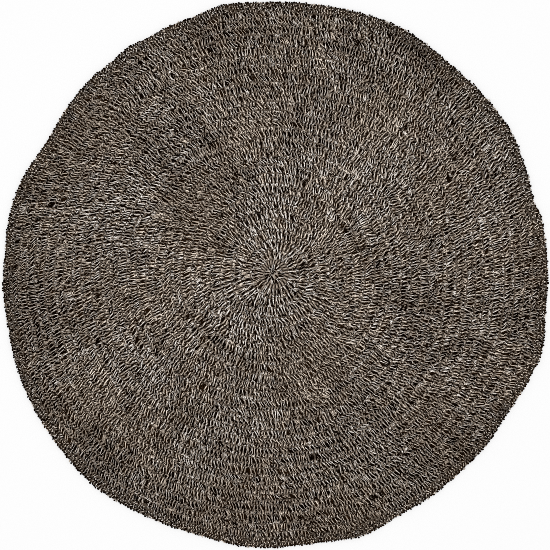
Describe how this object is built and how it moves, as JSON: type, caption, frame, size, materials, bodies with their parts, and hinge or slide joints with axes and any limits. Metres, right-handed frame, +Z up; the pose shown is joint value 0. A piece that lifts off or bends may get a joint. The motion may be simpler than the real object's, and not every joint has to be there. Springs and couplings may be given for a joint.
{
  "type": "round crocheted rug",
  "caption": "Round floor rug crocheted in closed rounds from a thick two-tone plant-fibre cord, thin and flat, with a slightly uneven hand-made edge.",
  "frame": {"origin": "middle of the first round of stitches, on the flat underside", "axes": "+Z up, away from the floor, through the rug's thickness; +X and +Y lie in the underside, +Y towards the top of the reference view"},
  "size_m": [1.5003, 1.5018, 0.0125],
  "materials": {
    "cord": "matt twisted cord, natural beige and near-black"
  },
  "bodies": {
    "root": {"rug": "cord"}
  },
  "joints": []
}
